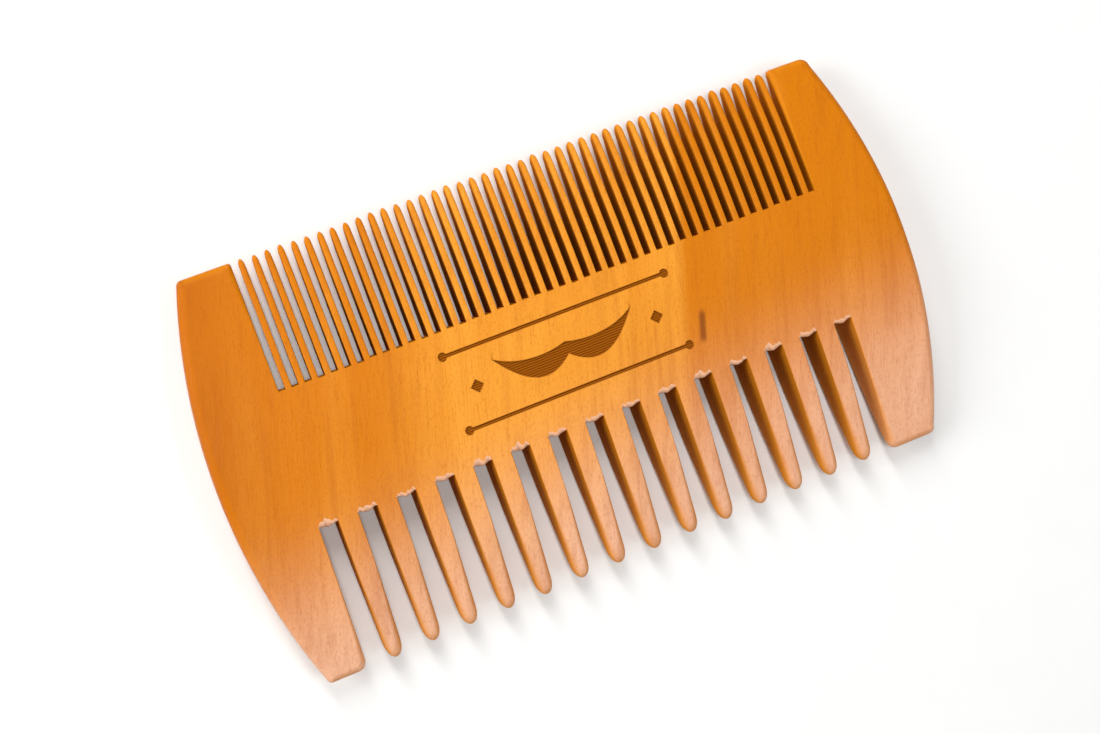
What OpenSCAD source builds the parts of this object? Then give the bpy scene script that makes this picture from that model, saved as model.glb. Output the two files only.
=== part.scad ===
// Double-sided beard comb, sawn and shaped from one flat board of pear wood.
// One long edge carries closely spaced fine teeth, the other widely spaced coarse teeth,
// and a solid end guard protects the teeth at each end.
//
// The board lies flat: X runs along the comb, +Y points to the fine teeth, +Z is up.
// The origin is on the underside, in the middle of the comb.
//
// Each node is one region of the board: the spine between the kerf floors, the two end
// guards and every single tooth. Neighbouring regions meet face to face.

/* [Board] */
// Overall length, across the two convex ends
comb_length = 100; // [98:0.5:110]
// Overall width, from the fine tips to the coarse tips
comb_width = 55.4; // [54:0.1:60]
// Thickness of the board in the middle
comb_thickness = 7; // [5:0.1:9]
// Thickness that the board is worked down to at the tips
tip_thickness = 2; // [1.6:0.1:2.6]
// Width of the band in the middle that stays flat on both faces
flat_band = 10; // [6:0.5:14]
// Radius of each convex end, seen from above
end_radius = 84; // [80:1:120]
// Radius of the outer corners, seen from above
corner_radius = 1.2; // [0.6:0.1:2]
// Radius that eases the edges of the convex ends
end_edge_radius = 1.2; // [0.5:0.1:2]

/* [Fine side] */
// Number of fine teeth
fine_teeth = 43; // [30:1:43]
// Distance from one fine tooth to the next
fine_pitch = 1.783; // [1.7:0.001:1.79]
// Width of the saw cut between fine teeth
fine_kerf = 0.9; // [0.7:0.05:1]
// Depth of the saw cuts on the fine side
fine_depth = 17.6; // [14:0.1:18]
// Length of the stretch in which a fine tooth narrows to its tip
fine_taper = 3; // [2:0.5:6]
// Radius of the fine tips, seen from above
fine_tip_radius = 0.3; // [0.25:0.01:0.32]
// Shift of the fine row from the middle of the comb
fine_shift = 0.44; // [-0.5:0.01:0.5]
// Angle by which the fine saw cuts lean from upright, towards +X at the underside
fine_lean = 4; // [0:0.5:5]

/* [Coarse side] */
// Number of coarse teeth
coarse_teeth = 14; // [10:1:14]
// Distance from one coarse tooth to the next, at the roots
coarse_pitch = 5.366; // [5.2:0.001:5.4]
// Width of the saw cut between coarse teeth, at the roots
coarse_kerf = 2.63; // [2:0.01:2.8]
// Depth of the saw cuts on the coarse side
coarse_depth = 19.8; // [16:0.1:20]
// Length of the stretch in which a coarse tooth narrows to its tip
coarse_taper = 14; // [10:0.5:15]
// Radius of the coarse tips, seen from above
coarse_tip_radius = 1.05; // [0.7:0.01:1.1]
// Distance by which each tip stands further out than its root, per tooth from the middle
coarse_splay = 0.045; // [0:0.005:0.05]
// Shift of the coarse row from the middle of the comb
coarse_shift = -0.84; // [-1:0.01:1]
// Height of the ridge that the saw leaves across each coarse floor
ridge_height = 0.4; // [0.1:0.05:0.6]

/* [Burnt emblem] */
// Middle of the emblem along the comb
emblem_x = -1.1; // [-4:0.1:4]
// Middle of the emblem across the comb
emblem_y = 1.8; // [0:0.1:3]
// Length of the two burnt rules
rule_length = 32; // [24:0.5:40]
// Distance between the two rules
rule_gap = 10.2; // [8:0.1:11]
// Width of each rule
rule_width = 0.45; // [0.3:0.05:0.6]
// Distance from the middle of the moustache to the end of its tail
moustache_reach = 10; // [8:0.5:11]
// Half the height of the lozenge on each side of the moustache
lozenge_size = 0.9; // [0.5:0.1:1.2]
// Depth to which the emblem is burnt in
burn_depth = 0.2; // [0.1:0.05:0.3]

/* [Hidden] */
$fn = 96;
eps = 0.01;

function two_digits(i) = str(i < 10 ? "0" : "", i);

wood = "#D9862F";
pale_wood = "#E09A5A";

half_length = comb_length / 2;
half_width = comb_width / 2;
half_band = flat_band / 2;
tip_drop = (comb_thickness - tip_thickness) / 2;

// The faces are arcs that leave the flat band at its edges and reach the tip thickness
crown_rise = (half_width ^ 2 - half_band ^ 2 + tip_drop ^ 2) / (2 * tip_drop);
crown_radius = norm([half_band, crown_rise]);

function half_thickness(y) = comb_thickness / 2 - crown_rise + sqrt(crown_radius ^ 2 - y ^ 2);

// Radius of the rounded tip edge, a little over half the thickness where the rounding starts
function fitted_radius(r, steps) =
    steps == 0 ? r : fitted_radius(half_thickness(half_width - r), steps - 1);
tip_round = fitted_radius(tip_thickness / 2, 12) + 0.04;

// Teeth are drawn this much too long, and the rounded tip edge trims them
tip_overrun = 0.05;

// Teeth and guards are drawn this much too high at both faces, and the crowned board trims them
overshoot = 2;

// Number of facets round a tip, seen from above
tip_steps = 12;

// Number of steps along each side of the moustache
moustache_steps = 20;

fine_floor = half_width - fine_depth;
coarse_floor = -half_width + coarse_depth;
fine_width = fine_pitch - fine_kerf;
coarse_width = coarse_pitch - coarse_kerf;

function fine_x(i) = fine_shift + (i - (fine_teeth + 1) / 2) * fine_pitch;
function coarse_x(i) = coarse_shift + (i - (coarse_teeth + 1) / 2) * coarse_pitch;

// Inner faces of the guards: the outermost saw cuts of each row end on them
fine_left = fine_x(0) + fine_width / 2;
fine_right = fine_x(fine_teeth + 1) - fine_width / 2;
coarse_left = coarse_x(0) + coarse_width / 2;
coarse_right = coarse_x(coarse_teeth + 1) - coarse_width / 2;
spine_left = min(fine_left, coarse_left);
spine_right = max(fine_right, coarse_right);

// The board's cross-section swept along X: flat in the middle, crowned towards the tips,
// with rounded tip edges
module crowned_board() {
    intersection() {
        translate([-half_length, -half_width - 1, 0])
            cube([comb_length, comb_width + 2, comb_thickness]);
        crown_cylinder(comb_thickness - crown_rise);
        crown_cylinder(crown_rise);
        rounded_tip_edges();
    }
}

// Large cylinder along X whose side forms one crowned face
module crown_cylinder(axis_height) {
    translate([-half_length - 1, 0, axis_height])
        rotate([0, 90, 0])
            cylinder(r = crown_radius, h = comb_length + 2, $fn = 360);
}

// Keeps everything between the tips, and rounds the two long edges
module rounded_tip_edges() {
    straight = half_width - tip_round;
    translate([-half_length - 1, -straight, -1])
        cube([comb_length + 2, 2 * straight, comb_thickness + 2]);
    for (side = [-1, 1])
        translate([-half_length - 1, side * straight, comb_thickness / 2])
            rotate([0, 90, 0])
                cylinder(r = tip_round, h = comb_length + 2);
}

// Disc with eased rims: its right or left side is one convex end of the comb
module end_disc(side) {
    flat = end_radius - end_edge_radius;
    translate([side * (half_length - end_radius), 0, 0])
        rotate_extrude($fn = 360) {
            square([flat, comb_thickness]);
            translate([0, end_edge_radius])
                square([end_radius, comb_thickness - 2 * end_edge_radius]);
            for (z = [end_edge_radius, comb_thickness - end_edge_radius])
                translate([flat, z]) circle(r = end_edge_radius);
        }
}

// Outline of one rounded end, seen from above
module end_outline(side) {
    inner_y = half_width - corner_radius;
    reach = sqrt((end_radius - corner_radius) ^ 2 - inner_y ^ 2);
    corner_x = half_length - end_radius + reach;
    translate([0, 0, -eps]) linear_extrude(comb_thickness + 2 * eps) {
        translate([side > 0 ? 0 : -half_length, -inner_y]) square([half_length, 2 * inner_y]);
        translate([side > 0 ? 0 : -corner_x, -half_width]) square([corner_x, comb_width]);
        for (y = [-inner_y, inner_y]) translate([side * corner_x, y]) circle(r = corner_radius);
    }
}

// Leans its children about the line along Y at x in the upper face, as the saw cuts lean
module leaning(x, angle) {
    translate([x, 0, comb_thickness]) rotate([0, -angle, 0]) translate([-x, 0, -comb_thickness])
        children();
}

// The solid end beyond the outermost saw cuts
module guard(side, spine_x, fine_face, coarse_face) {
    color(wood)
        intersection() {
            crowned_board();
            end_disc(side);
            end_outline(side);
            union() {
                strip(side, spine_x, coarse_floor, fine_floor);
                strip(side, coarse_face, -half_width, coarse_floor);
                leaning(fine_face, fine_lean)
                    strip(side, fine_face, fine_floor, half_width);
            }
        }
}

// Block from the plane x out to the end of the comb, between two heights in Y
module strip(side, x, low_y, high_y) {
    low_x = side > 0 ? x : -half_length;
    high_x = side > 0 ? half_length : x;
    translate([low_x, low_y, -overshoot])
        cube([high_x - low_x, high_y - low_y, comb_thickness + 2 * overshoot]);
}

module left_guard() {
    guard(-1, spine_left, fine_left, coarse_left);
}

module right_guard() {
    guard(1, spine_right, fine_right, coarse_right);
}

// The web between the kerf floors, with the emblem burnt into its upper face
module spine() {
    color(wood)
        difference() {
            union() {
                intersection() {
                    crowned_board();
                    translate([spine_left, coarse_floor, 0])
                        cube([spine_right - spine_left, fine_floor - coarse_floor, comb_thickness]);
                }
                for (i = [0 : coarse_teeth]) floor_ridge(i);
            }
            emblem();
        }
}

// Two passes of the saw, one along each tooth, leave a low ridge across each coarse floor
module floor_ridge(i) {
    middle = coarse_x(i) + coarse_pitch / 2;
    intersection() {
        crowned_board();
        translate([middle, coarse_floor, -eps])
            linear_extrude(comb_thickness + 2 * eps)
                polygon([[-coarse_kerf / 2, 0], [0, -ridge_height], [coarse_kerf / 2, 0]]);
    }
}

// Two rules, and between them a moustache with a lozenge on each side
module emblem() {
    lozenge_x = (moustache_reach + rule_length / 2) / 2;
    translate([emblem_x, emblem_y, comb_thickness - burn_depth])
        linear_extrude(burn_depth + 1) {
            for (side = [-1, 1]) {
                translate([0, side * rule_gap / 2]) rule();
                translate([side * lozenge_x, 0]) circle(r = lozenge_size, $fn = 4);
            }
            moustache();
        }
}

module rule() {
    square([rule_length, rule_width], center = true);
    for (side = [-1, 1]) translate([side * rule_length / 2, 0]) circle(r = 1.3 * rule_width);
}

// Height of the moustache's middle line, and half its width, from the lip at 0 to a tail at 1
function moustache_line(t) = 0.5 - 6 * t + 8 * t ^ 2;
function moustache_half(t) = 1.4 * sin(180 * (0.2 + 0.8 * t));

module moustache() {
    lower = [for (k = [-moustache_steps : moustache_steps])
        let (t = abs(k) / moustache_steps)
        [moustache_reach * k / moustache_steps, moustache_line(t) - moustache_half(t)]];
    upper = [for (k = [moustache_steps - 1 : -1 : 1 - moustache_steps])
        let (t = abs(k) / moustache_steps)
        [moustache_reach * k / moustache_steps, moustache_line(t) + moustache_half(t)]];
    polygon(concat(lower, upper));
}

// Direction, seen from the centre c of the tip arc, in which the straight flank from the
// point p touches the arc
function touch_angle(p, c, r, side) =
    let (away = p - c)
    atan2(away[1], away[0]) + side * acos(r / norm(away));

// One tooth seen from above, rooted on the X axis and pointing to +Y: straight flanks,
// then a taper that ends in a round tip
module tooth_outline(width, length, taper, tip_radius, splay) {
    shoulder = length - taper;
    shift = splay * shoulder / length;
    tip = [splay, length - tip_radius];
    right = [shift + width / 2, shoulder];
    left = [shift - width / 2, shoulder];
    first = touch_angle(right, tip, tip_radius, 1);
    last = touch_angle(left, tip, tip_radius, -1) + 360;
    polygon(concat(
        [[-width / 2, 0], [width / 2, 0], right],
        [for (k = [0 : tip_steps])
            let (turn = first + (last - first) * k / tip_steps)
            tip + tip_radius * [cos(turn), sin(turn)]],
        [left]
    ));
}

module tooth(x, floor_y, direction, width, length, taper, tip_radius, splay, cut_lean) {
    intersection() {
        crowned_board();
        leaning(x, cut_lean)
            translate([x, floor_y, -overshoot])
                linear_extrude(comb_thickness + 2 * overshoot)
                    mirror([0, direction < 0 ? 1 : 0])
                        tooth_outline(width, length, taper, tip_radius, splay);
    }
}

module fine_tooth(i) {
    color(wood)
        tooth(fine_x(i), fine_floor, 1, fine_width, fine_depth + tip_overrun, fine_taper,
              fine_tip_radius, 0, fine_lean);
}

module coarse_tooth(i) {
    splay = coarse_splay * (i - (coarse_teeth + 1) / 2);
    color(pale_wood)
        tooth(coarse_x(i), coarse_floor, -1, coarse_width, coarse_depth + tip_overrun,
              coarse_taper, coarse_tip_radius, splay, 0);
}

spine();
left_guard();
right_guard();
for (i = [1 : fine_teeth])
    fine_tooth(i);
for (i = [1 : coarse_teeth])
    coarse_tooth(i);
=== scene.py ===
"""Double-sided beard comb, sawn from one flat board of pear wood and finished with oil.

The board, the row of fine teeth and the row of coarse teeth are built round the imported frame.
X runs along the comb, +Y points to the fine teeth, and +Z is up.
"""

import math

import bpy
import numpy as np
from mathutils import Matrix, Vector
from mathutils.geometry import delaunay_2d_cdt


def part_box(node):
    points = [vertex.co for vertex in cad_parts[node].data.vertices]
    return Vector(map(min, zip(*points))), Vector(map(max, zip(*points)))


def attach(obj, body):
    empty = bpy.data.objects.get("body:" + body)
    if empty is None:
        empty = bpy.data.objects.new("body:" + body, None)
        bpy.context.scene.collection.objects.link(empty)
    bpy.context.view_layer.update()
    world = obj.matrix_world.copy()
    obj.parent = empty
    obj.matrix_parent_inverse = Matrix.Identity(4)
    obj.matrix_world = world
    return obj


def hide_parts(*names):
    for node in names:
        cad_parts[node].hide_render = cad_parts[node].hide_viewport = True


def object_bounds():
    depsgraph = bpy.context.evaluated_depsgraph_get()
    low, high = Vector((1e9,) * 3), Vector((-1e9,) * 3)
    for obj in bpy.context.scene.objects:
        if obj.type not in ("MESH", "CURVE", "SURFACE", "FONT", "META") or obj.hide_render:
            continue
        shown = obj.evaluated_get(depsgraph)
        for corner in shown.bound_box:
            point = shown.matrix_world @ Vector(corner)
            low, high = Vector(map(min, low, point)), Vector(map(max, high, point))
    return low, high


bl_info = {
    "name": "Beard Comb",
    "version": (1, 0, 0),
    "blender": (4, 5, 0),
    "location": "3D View > Sidebar > Beard Comb",
    "description": "Builds a double-sided beard comb of oiled pear wood",
    "category": "Add Mesh",
}

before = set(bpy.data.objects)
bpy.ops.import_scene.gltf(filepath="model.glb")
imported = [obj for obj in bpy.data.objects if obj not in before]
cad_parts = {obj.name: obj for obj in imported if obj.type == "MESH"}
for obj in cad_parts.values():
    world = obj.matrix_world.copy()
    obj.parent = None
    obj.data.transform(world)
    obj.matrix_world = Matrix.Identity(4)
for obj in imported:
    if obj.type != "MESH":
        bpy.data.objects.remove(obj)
cad_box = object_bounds()

MM = 0.001
BODY = "root"

# ---- the comb's layout


def teeth_named(prefix):
    """Names of one row's nodes, from the left end to the right end."""
    return sorted(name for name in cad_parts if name.startswith(prefix))


FINE_TEETH = teeth_named("fine_tooth_")
COARSE_TEETH = teeth_named("coarse_tooth_")

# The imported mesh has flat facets, so its box is rounded to a tenth of a millimetre
HALF_LENGTH, HALF_WIDTH, THICKNESS = (round(side, 4) for side in cad_box[1])
FINE_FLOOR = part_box(FINE_TEETH[0])[0].y
COARSE_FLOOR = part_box(COARSE_TEETH[0])[1].y

# The faces are flat in the middle and fall away to the tips along an arc
TIP_THICKNESS = 2 * MM
HALF_BAND = 5 * MM
TIP_DROP = (THICKNESS - TIP_THICKNESS) / 2
CROWN_RISE = (HALF_WIDTH**2 - HALF_BAND**2 + TIP_DROP**2) / (2 * TIP_DROP)
CROWN_RADIUS = math.hypot(HALF_BAND, CROWN_RISE)

# Plan radius of the convex ends
END_RADIUS = 84 * MM


def half_thickness(y):
    """Half the board's thickness at a distance y from its middle line."""
    arc = THICKNESS / 2 - CROWN_RISE + np.sqrt(CROWN_RADIUS**2 - np.square(y))
    return np.minimum(arc, THICKNESS / 2)


def row_pitch(names):
    """Distance between neighbouring teeth, from two boxes of the row's right half."""
    first = len(names) // 2
    last = len(names) - 1
    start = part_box(names[first])[0].x
    return (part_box(names[last])[0].x - start) / (last - first)


FINE_PITCH = row_pitch(FINE_TEETH)
COARSE_PITCH = row_pitch(COARSE_TEETH)


def linear(code):
    """Linear colour of an sRGB hex code."""
    values = [int(code[k : k + 2], 16) / 255 for k in (1, 3, 5)]
    return [v / 12.92 if v <= 0.04045 else ((v + 0.055) / 1.055) ** 2.4 for v in values]


# ---- sizes and colours


def number(name, description, default, **kind):
    """A number that the user may change."""
    return bpy.props.FloatProperty(name=name, description=description, default=default, **kind)


def length(name, description, default):
    """A length in metres that the user may change."""
    return number(name, description, default, unit="LENGTH", precision=5)


def colour(name, description, code):
    """A colour that the user may change."""
    return bpy.props.FloatVectorProperty(
        name=name, description=description, default=linear(code), subtype="COLOR", size=3
    )


def power(name, description, default):
    """A lamp's power in watts that the user may change."""
    return number(name, description, default, unit="POWER")


def unevenness(default):
    """How much the teeth of a row differ in length."""
    about = "How much the teeth differ in length, as a share of it"
    return number("Uneven length", about, default, subtype="FACTOR")


def random_seed(default):
    """Seed of a piece's random differences."""
    return bpy.props.IntProperty(name="Seed", description="Seed of the draws", default=default)


class BoardSizes(bpy.types.PropertyGroup):
    """How the board is rounded, torn and burnt."""

    end_ease: length("End rounding", "Radius on the edges of the convex ends", 1.1 * MM)
    kerf_ease: length("Kerf rounding", "Radius on the edges of the fine kerf floors", 0.07 * MM)
    kerf_wander: length("Kerf wander", "How unevenly deep the fine cuts are", 0.12 * MM)
    ridge: length("Ridge", "Height of the ridge across each coarse floor", 0.4 * MM)
    torn_edge: length("Torn edge", "Usual width of the torn edge of a coarse floor", 0.7 * MM)
    burn_depth: length("Burn depth", "Depth to which the emblem is burnt in", 0.2 * MM)
    seed: random_seed(7)


class FineToothSizes(bpy.types.PropertyGroup):
    """The closely spaced teeth."""

    width: length("Width", "Width of a tooth between its saw cuts", 0.883 * MM)
    taper: length("Taper", "Length over which a tooth narrows to its tip", 2.2 * MM)
    nose: length("Nose", "Length of the round tip", 0.9 * MM)
    lean: number("Lean", "Lean of the saw cuts from upright", math.radians(4), subtype="ANGLE")
    uneven: unevenness(0.005)
    seed: random_seed(11)


# Neighbouring coarse teeth, 19.8 mm long, stand 0.045 mm further apart at their tips
SPLAY = math.atan(0.045 / 19.8)


class CoarseToothSizes(bpy.types.PropertyGroup):
    """The widely spaced teeth."""

    width: length("Width", "Width of a tooth at its root", 2.736 * MM)
    tip_width: length("Tip width", "Width of a tooth where its round tip starts", 2.3 * MM)
    nose: length("Nose", "Length of the round tip", 2.1 * MM)
    splay: number("Splay", "Angle between one tooth and the next", SPLAY, subtype="ANGLE")
    uneven: unevenness(0.006)
    seed: random_seed(5)


class WoodColours(bpy.types.PropertyGroup):
    """Colours of the oiled pear wood."""

    amber: colour("Amber", "Wood in the middle of the board", "#E8972E")
    deep_amber: colour("Deep amber", "Wood towards the ends, and darker bands", "#CC7405")
    dark_amber: colour("Dark amber", "Wood at the left end", "#B66000")
    # Painted sheen: a paler colour for the faces towards the coarse teeth, where they catch the
    # sheen
    painted_sheen: colour("Honey", "Wood towards the coarse teeth", "#E8B08C")
    fibre: colour("Fibre", "Fine lines along the grain", "#A9540A")
    sawn: colour("Sawn", "Walls of the saw cuts, which drink more oil", "#D68414")
    torn: colour("Torn", "Bare fibres of the torn edges", "#E6B08C")
    # The burnt colour also paints shade on the teeth's flanks at their roots
    burnt: colour("Burnt", "Floor of the burnt emblem", "#6A2E04")
    mineral: colour("Mineral", "Dark mineral streak", "#84400A")


class StageSizes(bpy.types.PropertyGroup):
    """The floor and the studio light."""

    floor_side: length("Floor side", "Side of the square floor", 2.4)
    sky: number("Sky", "Strength of the light from all round", 0.22)
    overhead: power("Overhead", "Power of the softbox above the board", 1.5)
    strip: power("Strip", "Power of the strip light beyond the fine teeth", 2.5)
    left: power("Left", "Power of the softbox beyond the left end", 2.6)
    sheen: power("Sheen", "Power of the softbox that gives the sheen", 0.9)


class BeardComb(bpy.types.PropertyGroup):
    """Everything that the user may change."""

    board: bpy.props.PointerProperty(type=BoardSizes)
    fine: bpy.props.PointerProperty(type=FineToothSizes)
    coarse: bpy.props.PointerProperty(type=CoarseToothSizes)
    wood: bpy.props.PointerProperty(type=WoodColours)
    stage: bpy.props.PointerProperty(type=StageSizes)


# ---- helpers


def add_node(tree, kind, inputs=None, **settings):
    """Adds a node, applies its settings, and sets or links its inputs."""
    node = tree.nodes.new(kind)
    for name, value in settings.items():
        setattr(node, name, value)
    for key, value in (inputs or {}).items():
        if isinstance(value, bpy.types.NodeSocket):
            tree.links.new(value, node.inputs[key])
        else:
            node.inputs[key].default_value = value
    return node


def new_piece(name, vertices, faces, attributes, material):
    """A mesh object at the origin, with float attributes on its vertices."""
    mesh = bpy.data.meshes.new(name)
    mesh.from_pydata(vertices.tolist(), [], faces)
    for key, values in attributes.items():
        layer = mesh.attributes.new(key, "FLOAT", "POINT")
        layer.data.foreach_set("value", np.asarray(values, np.float32))
    mesh.materials.append(material)
    mesh.shade_smooth()
    mesh.validate()
    piece = bpy.data.objects.new(name, mesh)
    bpy.context.scene.collection.objects.link(piece)
    return piece


def settle(piece, nodes):
    """Ties a finished piece to the frame, in place of the CAD nodes that it stands for."""
    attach(piece, BODY)
    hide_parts(*nodes)


# ---- the wood


def grain_noise(tree, place, across, along, detail, roughness=0.5):
    """Noise drawn out along the grain, with a feature's width and length in metres."""
    scaled = add_node(tree, "ShaderNodeMapping",
                      {"Vector": place, "Scale": (across, along, across)}, vector_type="TEXTURE")
    noise = add_node(tree, "ShaderNodeTexNoise", {"Vector": scaled.outputs[0], "Scale": 1.0,
                                                  "Detail": detail, "Roughness": roughness})
    return noise.outputs[0]


def ramp(tree, value, low, high, to_low=0.0, to_high=1.0):
    """Maps a value smoothly from one range to another, and clamps it."""
    limits = {"From Min": low, "From Max": high, "To Min": to_low, "To Max": to_high}
    node = add_node(tree, "ShaderNodeMapRange", {"Value": value, **limits},
                    interpolation_type="SMOOTHSTEP")
    return node.outputs[0]


# Sockets of the mix node that are in use when it mixes colours
MIX_FACTOR, MIX_FIRST, MIX_SECOND, MIX_RESULT = 0, 6, 7, 2


def blend(tree, factor, first, second, mode="MIX"):
    """Mixes two colours, each a socket or a plain colour."""
    values = {MIX_FACTOR: factor}
    for key, value in ((MIX_FIRST, first), (MIX_SECOND, second)):
        values[key] = value if isinstance(value, bpy.types.NodeSocket) else (*value, 1.0)
    node = add_node(tree, "ShaderNodeMix", values, data_type="RGBA", blend_type=mode)
    return node.outputs[MIX_RESULT]


def maths(tree, operation, first, second=0.0):
    """One sum of two values, each a socket or a number."""
    return add_node(tree, "ShaderNodeMath", {0: first, 1: second}, operation=operation).outputs[0]


def total(tree, start, *terms):
    """A start value plus each (value, weight) of the terms."""
    for value, weight in terms:
        start = maths(tree, "ADD", start, maths(tree, "MULTIPLY", value, weight))
    return start


# The grain leans from the comb's width
GRAIN_LEAN = math.radians(17)
# Width and length of the features. Fibres and pores are drawn just coarse enough to show
BAND = (6 * MM, 80 * MM)
STREAK = (1.3 * MM, 22 * MM)
FIBRE = (0.22 * MM, 4 * MM)
PORE = (0.22 * MM, 0.5 * MM)
CLOUD = (14 * MM, 14 * MM)
# Where the lighter zone fades in and out, and the dark end fades in, across the grain
LIGHT_STARTS = (-30 * MM, -16 * MM)
LIGHT_ENDS = (15.8 * MM, 14.2 * MM)
DARK_END = (-36 * MM, -52 * MM)
# Where the painted sheen, a paler colour towards the coarse teeth, fades in along Y, and how it
# slants with X
PAINTED_SHEEN_ZONE = (3 * MM, -26 * MM)
PAINTED_SHEEN_SLANT = -0.07
# Middle of the mineral streak across and along the grain
MINERAL = (17.2 * MM, 3.6 * MM)
# Distance between the laser's lines, and between the wave node's at scale 1
LASER_LINE = 0.32 * MM
WAVE_LINE = 0.314


def oiled_pear_wood(colours):
    """Pear wood, planed, sanded and oiled: an even amber board with fine leaning fibres and a
    satin sheen, dark in the saw cuts and pale where the fibres are torn. A painted sheen pales the
    colour towards the coarse teeth, and painted shade darkens the teeth's flanks at their roots."""
    material = bpy.data.materials.new("oiled_pear_wood")
    material.use_nodes = True
    tree = material.node_tree
    shader = tree.nodes["Principled BSDF"]
    place = add_node(tree, "ShaderNodeTexCoord").outputs["Object"]
    turned = add_node(tree, "ShaderNodeMapping",
                      {"Vector": place, "Rotation": (0, 0, -GRAIN_LEAN)},
                      vector_type="TEXTURE").outputs[0]
    axes = add_node(tree, "ShaderNodeSeparateXYZ", {0: place}).outputs
    grain = add_node(tree, "ShaderNodeSeparateXYZ", {0: turned}).outputs

    # Growth bands, streaks, fibres and pores, from the broadest to the finest
    bands = grain_noise(tree, turned, *BAND, 2.0)
    streaks = grain_noise(tree, turned, *STREAK, 3.0)
    fibres = grain_noise(tree, turned, *FIBRE, 2.0, 0.6)
    pores = grain_noise(tree, turned, *PORE, 1.0)
    cloud = grain_noise(tree, place, *CLOUD, 2.0)

    # The middle of the board is lighter, and ends on its right along one line of the grain
    starts = ramp(tree, grain["X"], *LIGHT_STARTS)
    light = maths(tree, "MULTIPLY", starts, ramp(tree, grain["X"], *LIGHT_ENDS))
    light = maths(tree, "MULTIPLY", light, ramp(tree, bands, 0.25, 0.55, 0.55, 1.0))
    light = maths(tree, "MAXIMUM", light, ramp(tree, bands, 0.5, 0.75, 0.0, 0.35))
    wood = blend(tree, light, colours.deep_amber, colours.amber)
    wood = blend(tree, ramp(tree, grain["X"], *DARK_END), wood, colours.dark_amber)
    # Painted sheen: the colour pales towards the coarse teeth, whose faces catch the sheen. The
    # same mask also strengthens the oil film's real reflection below
    slanted = total(tree, axes["Y"], (axes["X"], PAINTED_SHEEN_SLANT))
    sheen_towards_coarse = maths(tree, "POWER", ramp(tree, slanted, *PAINTED_SHEEN_ZONE), 1.5)
    wood = blend(tree, sheen_towards_coarse, wood, colours.painted_sheen)
    for pattern, low, high, share, tint in (
        (cloud, 0.3, 0.7, 0.25, colours.deep_amber),
        (streaks, 0.45, 0.75, 0.25, colours.fibre),
        (fibres, 0.5, 0.72, 0.22, colours.fibre),
        (pores, 0.5, 0.74, 0.25, colours.fibre),
    ):
        wood = blend(tree, ramp(tree, pattern, low, high, 0.0, share), wood, tint)

    # One short mineral streak that follows the grain
    across = maths(tree, "SUBTRACT", grain["X"], MINERAL[0])
    along = maths(tree, "SUBTRACT", grain["Y"], MINERAL[1])
    wavering = total(tree, maths(tree, "ABSOLUTE", across), (streaks, 0.4 * MM))
    on_line = ramp(tree, wavering, 0.9 * MM, 0.35 * MM, 0.0, 0.85)
    near = ramp(tree, maths(tree, "ABSOLUTE", along), 2.6 * MM, 1.4 * MM)
    wood = blend(tree, maths(tree, "MULTIPLY", on_line, near), wood, colours.mineral)

    # The third attribute holds the emblem's burn and also painted shade on the teeth's flanks at
    # their roots
    sawn, torn, burn, tone = (
        add_node(tree, "ShaderNodeAttribute", attribute_name=name).outputs["Fac"]
        for name in ("sawn", "torn", "burn", "tone")
    )
    wood = blend(tree, sawn, wood, colours.sawn)
    wood = blend(tree, torn, wood, colours.torn)

    # The laser leaves fine lines across the floor of the emblem. The same lined, burnt colour also
    # paints shade on the teeth's flanks at their roots
    lines = add_node(tree, "ShaderNodeTexWave",
                     {"Vector": place, "Scale": WAVE_LINE / LASER_LINE, "Distortion": 1.5,
                      "Detail": 1.0}, bands_direction="Y").outputs["Fac"]
    scorch_and_root_shade = blend(tree, maths(tree, "MULTIPLY", lines, 0.35), colours.burnt, colours.sawn)
    wood = blend(tree, burn, wood, scorch_and_root_shade)
    level = total(tree, 1.0, (tone, 0.02))
    grey = add_node(tree, "ShaderNodeCombineColor", {"Red": level, "Green": level, "Blue": level})
    wood = blend(tree, 1.0, wood, grey.outputs[0], "MULTIPLY")

    rough = ramp(tree, fibres, 0.3, 0.7, 0.40, 0.52)
    rough = total(tree, rough, (torn, 0.35), (burn, 0.3), (sawn, 0.25))
    # The oil has soaked in: a thin film on the faces, and none in the cuts, tears and burns
    bare = maths(tree, "MAXIMUM", maths(tree, "MAXIMUM", sawn, torn), burn)
    film = total(tree, 0.1, (sheen_towards_coarse, 0.45))
    film = maths(tree, "MULTIPLY", film, ramp(tree, bare, 0.0, 0.8, 1.0, 0.3))

    relief = total(tree, fibres, (pores, 0.7), (streaks, 0.6))
    bump = add_node(tree, "ShaderNodeBump",
                    {"Height": relief, "Strength": 0.35, "Distance": 0.05 * MM})
    shader.inputs["IOR"].default_value = 1.47
    for name, value in (("Base Color", wood), ("Roughness", rough),
                        ("Specular IOR Level", film), ("Normal", bump.outputs[0])):
        tree.links.new(value, shader.inputs[name])
    return material


def comb_wood():
    """The wood, made once and shared by the three pieces of the comb."""
    found = bpy.data.materials.get("oiled_pear_wood")
    return found or oiled_pear_wood(bpy.context.scene.beard_comb.wood)


# ---- the board


def line_points(start, end, spacing):
    """Points from start up to end, without end."""
    start, end = np.array(start, float), np.array(end, float)
    steps = max(1, math.ceil(np.linalg.norm(end - start) / spacing))
    return start + (end - start) * (np.arange(steps) / steps)[:, None]


def arc_points(centre, radius, start, end, steps):
    """Points on an arc between two angles, without its last point."""
    turn = np.radians(start + (end - start) * np.arange(steps) / steps)
    return np.array(centre) + radius * np.stack([np.cos(turn), np.sin(turn)], 1)


def smooth_noise(rng, count, spacing, scale):
    """Values between -1 and 1 along a line, with features of a given length."""
    knots = rng.uniform(-1, 1, int(count * spacing / scale) + 4)
    place = np.arange(count) * spacing / scale + rng.uniform(0, 1)
    return np.interp(place, np.arange(len(knots)), knots)


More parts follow.
